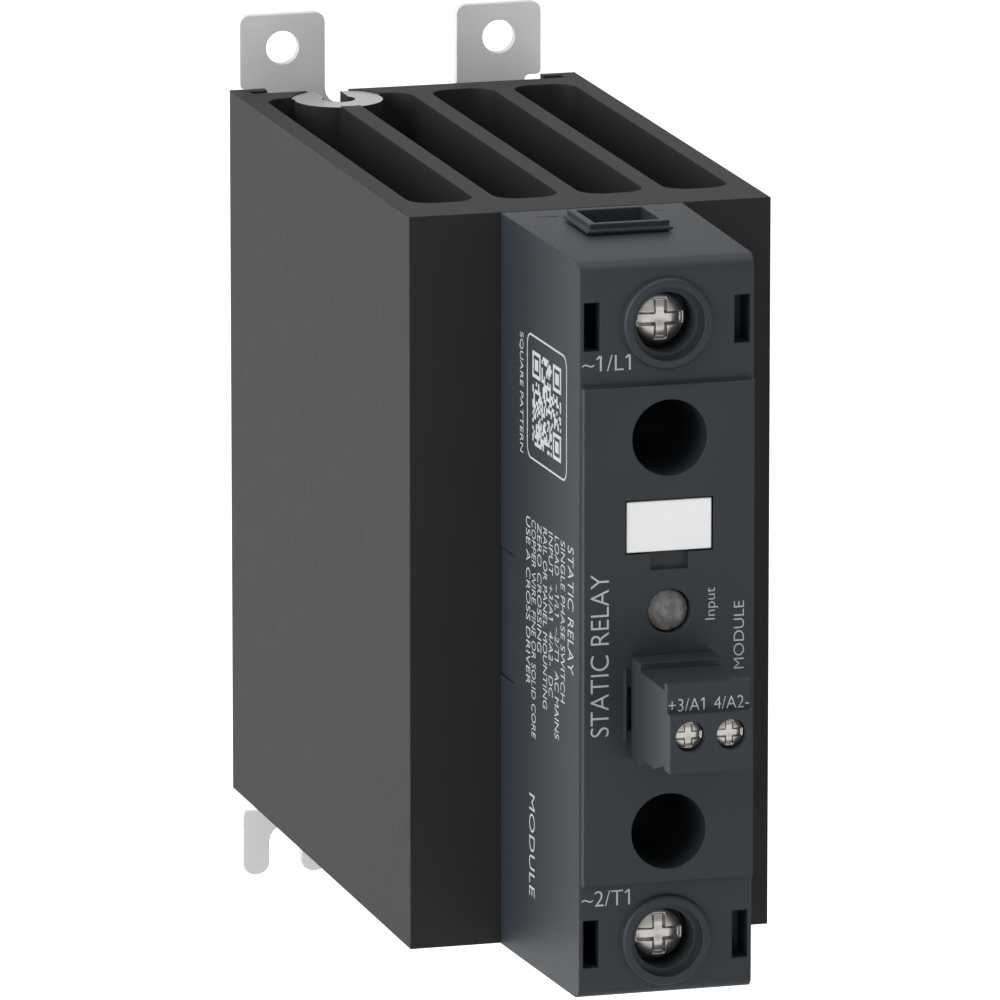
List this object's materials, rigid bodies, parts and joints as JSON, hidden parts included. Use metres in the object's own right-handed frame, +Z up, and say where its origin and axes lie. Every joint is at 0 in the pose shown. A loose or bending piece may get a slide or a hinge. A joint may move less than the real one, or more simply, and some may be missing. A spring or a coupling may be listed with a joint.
{
  "type": "solid state relay",
  "caption": "Solid state relay with screw load terminals and a plug-in control connector, on a black finned heat sink with a folded bracket for a rail or a panel.",
  "frame": {"origin": "middle of the bracket's face that seats on the mounting rail", "axes": "+Y towards the panel, -Y out of the relay's front, +Z up along the rail's height, +X to the right across the width as seen from the front"},
  "size_m": [0.045, 0.1407, 0.1114],
  "materials": {
    "anodised_aluminium": "matt black anodised extrusion",
    "zinc_sheet": "zinc plated folded sheet",
    "spring_steel": "bright spring wire",
    "housing_plastic": "fine textured dark grey moulding",
    "frame_plastic": "fine textured dark grey moulding",
    "plug_plastic": "fine textured dark grey moulding",
    "black_plastic": "black moulding",
    "thermal_pad": "soft grey pad",
    "bare_aluminium": "machined",
    "ceramic": "white ceramic",
    "silicon": "polished silicon",
    "tinned_copper": "tinned copper",
    "zinc_steel": "zinc plated steel",
    "nickel_steel": "nickel plated steel",
    "circuit_board": "green solder mask",
    "resistor_lacquer": "lacquer",
    "capacitor_sleeve": "shrink sleeve",
    "varistor_lacquer": "lacquer",
    "led_epoxy": "clear epoxy",
    "lens_plastic": "frosted grey lens",
    "brass_pin": "bright brass",
    "tag_plastic": "white"
  },
  "bodies": {
    "relay": {"heat_sink": "anodised_aluminium", "mounting_bracket": "zinc_sheet", "latch_spring": "spring_steel", "relay_housing": "housing_plastic", "base_frame": "frame_plastic", "thermal_pad": "thermal_pad", "base_plate": "bare_aluminium", "ceramic_substrate": "ceramic", "thyristor_chip_upper": "silicon", "thyristor_chip_lower": "silicon", "load_busbar_upper": "tinned_copper", "load_busbar_lower": "tinned_copper", "wire_collar_upper": "housing_plastic", "wire_collar_lower": "housing_plastic", "module_washer_upper": "zinc_steel", "module_washer_lower": "zinc_steel", "module_screw_upper": "zinc_steel", "module_screw_lower": "zinc_steel", "control_board": "circuit_board", "optocoupler": "black_plastic", "resistor_1": "resistor_lacquer", "resistor_2": "resistor_lacquer", "capacitor": "capacitor_sleeve", "varistor": "varistor_lacquer", "gate_lead_upper": "tinned_copper", "gate_lead_lower": "tinned_copper", "indicator_led": "led_epoxy", "lamp_lens": "lens_plastic", "header_pin_positive": "brass_pin", "header_pin_negative": "brass_pin", "input_header": "black_plastic"},
    "rail_latch": {"rail_latch": "zinc_sheet"},
    "load_screw_upper": {"load_screw_upper": "nickel_steel"},
    "load_screw_lower": {"load_screw_lower": "nickel_steel"},
    "load_cage_upper": {"load_cage_upper": "zinc_steel"},
    "load_cage_lower": {"load_cage_lower": "zinc_steel"},
    "input_plug": {"plug_housing": "plug_plastic", "plug_contact_positive": "tinned_copper", "plug_contact_negative": "tinned_copper"},
    "plug_screw_positive": {"plug_screw_positive": "nickel_steel"},
    "plug_screw_negative": {"plug_screw_negative": "nickel_steel"},
    "plug_cage_positive": {"plug_cage_positive": "zinc_steel"},
    "plug_cage_negative": {"plug_cage_negative": "zinc_steel"},
    "marker_tag": {"marker_tag": "tag_plastic"}
  },
  "joints": [
    {"name": "rail_latch_slide", "type": "slide", "parent": "relay", "child": "rail_latch", "axis": [0, 0, -1], "range_m": [0, 0.004], "stiffness_N_per_m": 600, "springref_m": -0.002, "deforming": ["latch_spring"]},
    {"name": "load_screw_turn_upper", "type": "hinge", "parent": "relay", "child": "load_screw_upper", "pos_m": [0, -0.1183, 0.0373], "axis": [0, 1, 0], "range_deg": [0, 2071]},
    {"name": "load_cage_clamp_upper", "type": "slide", "parent": "relay", "child": "load_cage_upper", "axis": [0, -1, 0], "range_m": [0, 0.0046]},
    {"name": "load_screw_turn_lower", "type": "hinge", "parent": "relay", "child": "load_screw_lower", "pos_m": [0, -0.1183, -0.0373], "axis": [0, 1, 0], "range_deg": [0, 2071]},
    {"name": "load_cage_clamp_lower", "type": "slide", "parent": "relay", "child": "load_cage_lower", "axis": [0, -1, 0], "range_m": [0, 0.0046]},
    {"name": "plug_pull", "type": "slide", "parent": "relay", "child": "input_plug", "axis": [0, -1, 0], "range_m": [0, 0.012]},
    {"name": "plug_screw_turn_positive", "type": "hinge", "parent": "input_plug", "child": "plug_screw_positive", "pos_m": [-0.0022, -0.13735, -0.00845], "axis": [0, 1, 0], "range_deg": [0, 1441]},
    {"name": "plug_cage_clamp_positive", "type": "slide", "parent": "input_plug", "child": "plug_cage_positive", "axis": [0, -1, 0], "range_m": [0, 0.0016]},
    {"name": "plug_screw_turn_negative", "type": "hinge", "parent": "input_plug", "child": "plug_screw_negative", "pos_m": [0.0028, -0.13735, -0.00845], "axis": [0, 1, 0], "range_deg": [0, 1441]},
    {"name": "plug_cage_clamp_negative", "type": "slide", "parent": "input_plug", "child": "plug_cage_negative", "axis": [0, -1, 0], "range_m": [0, 0.0016]},
    {"name": "marker_tag_pull", "type": "slide", "parent": "relay", "child": "marker_tag", "axis": [0, -1, 0], "range_m": [0, 0.004]}
  ],
  "couplings": [
    {"joint": "load_screw_turn_upper", "follows": "load_cage_clamp_upper", "rad_per_m": 7854},
    {"joint": "load_screw_turn_lower", "follows": "load_cage_clamp_lower", "rad_per_m": 7854},
    {"joint": "plug_screw_turn_positive", "follows": "plug_cage_clamp_positive", "rad_per_m": 15708},
    {"joint": "plug_screw_turn_negative", "follows": "plug_cage_clamp_negative", "rad_per_m": 15708}
  ]
}
